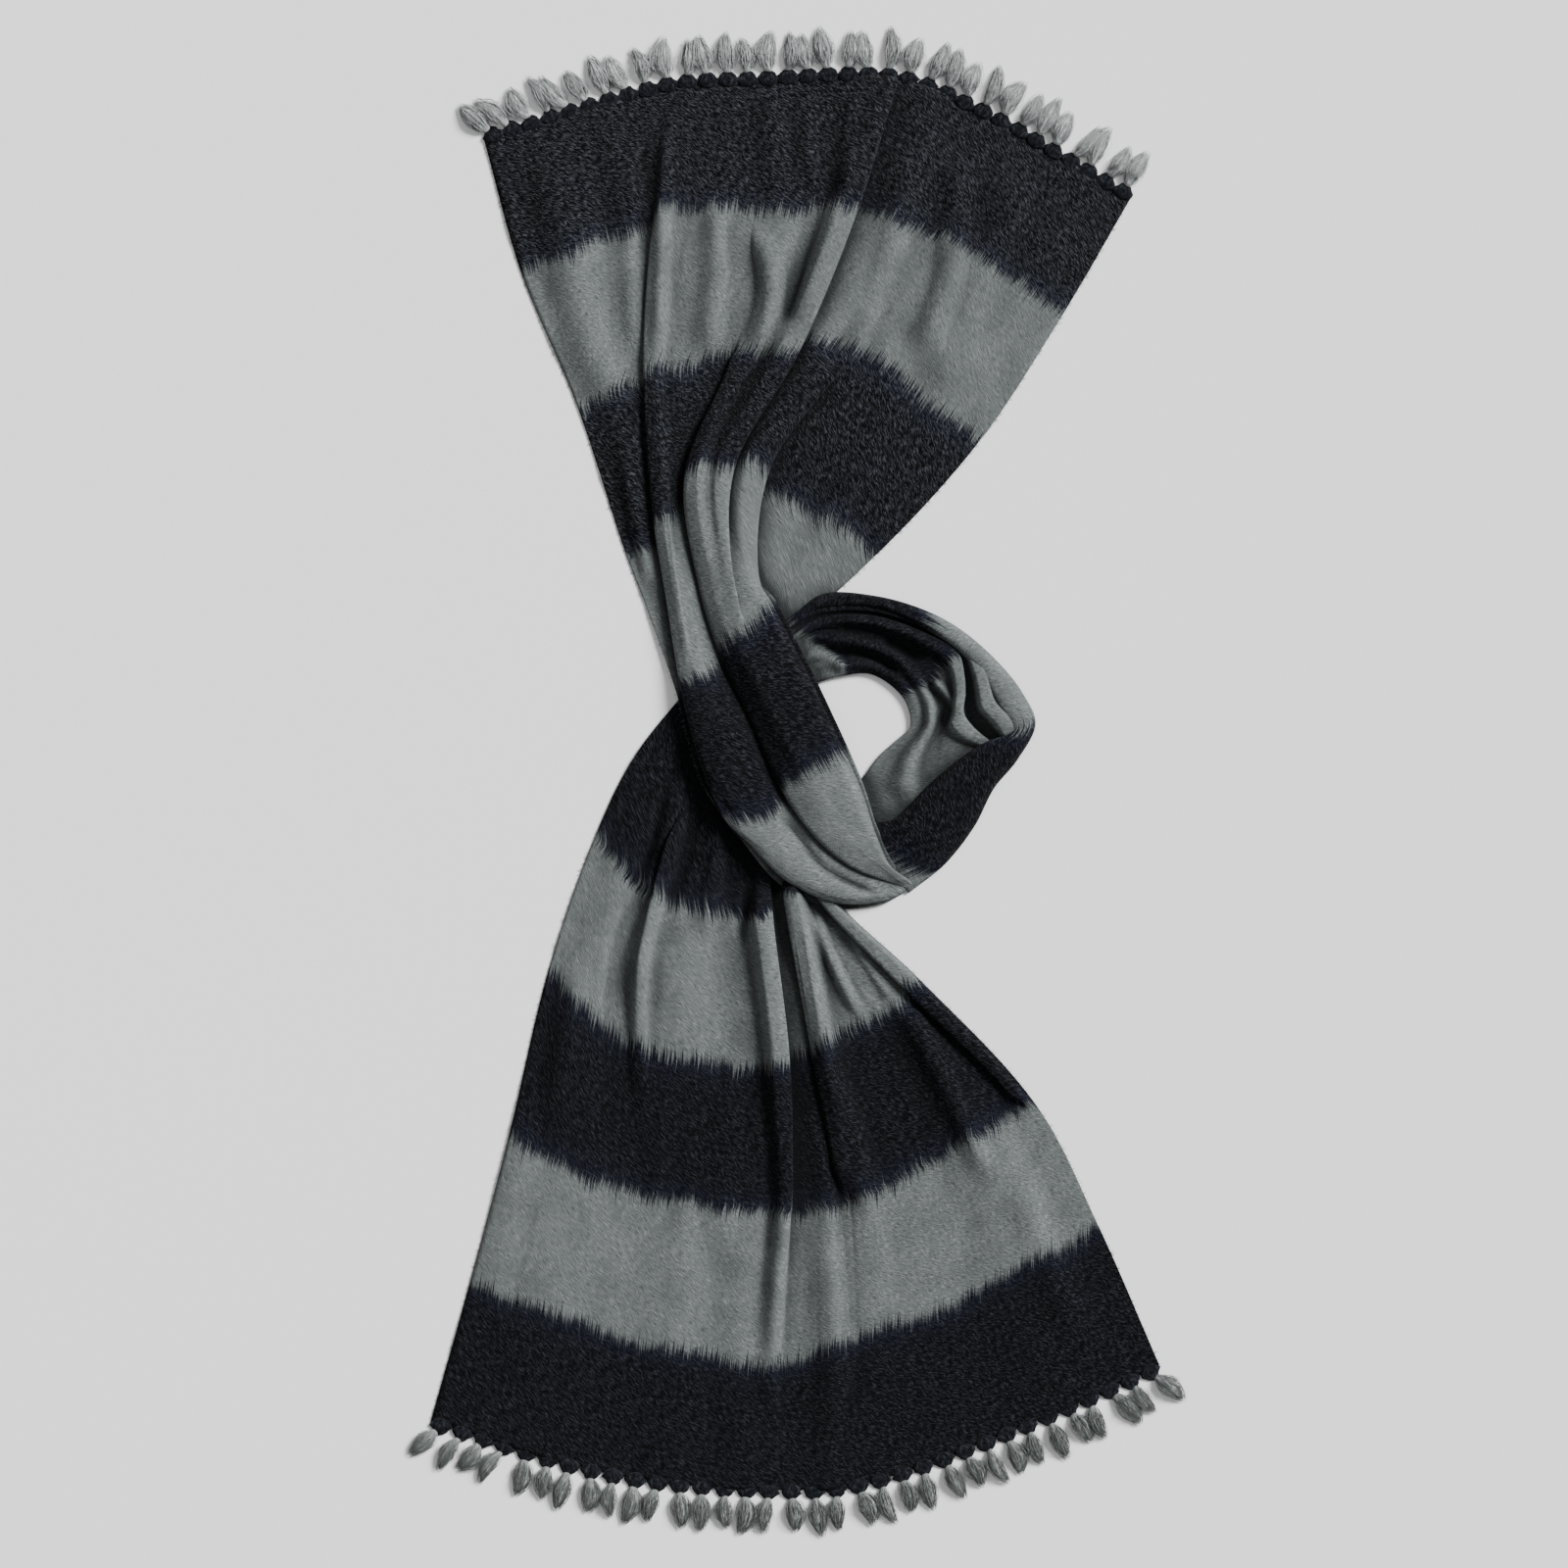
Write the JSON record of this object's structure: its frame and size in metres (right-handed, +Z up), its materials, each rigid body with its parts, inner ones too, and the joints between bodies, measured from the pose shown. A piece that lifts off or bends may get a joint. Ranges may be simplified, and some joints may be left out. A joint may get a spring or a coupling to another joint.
{
  "type": "scarf",
  "caption": "Long wool scarf with broad dyed bands and a tasselled fringe at each end, laid flat and crossed over itself in a loop.",
  "frame": {"origin": "centre of the scarf's footprint, on the surface it lies on", "axes": "+Y along the scarf towards its upper fringe, +X to the side of the loop, +Z up from the surface"},
  "size_m": [0.72, 1.41, 0.0252],
  "materials": {
    "cloth": "brushed wool, black and grey bands",
    "fringe": "brushed grey wool"
  },
  "bodies": {
    "root": {"upper_panel": "cloth", "crossing_strand": "cloth", "loop_outer": "cloth", "loop_inner": "cloth", "under_pass": "cloth", "lower_panel": "cloth", "upper_fringe": "fringe", "lower_fringe": "fringe"}
  },
  "joints": []
}
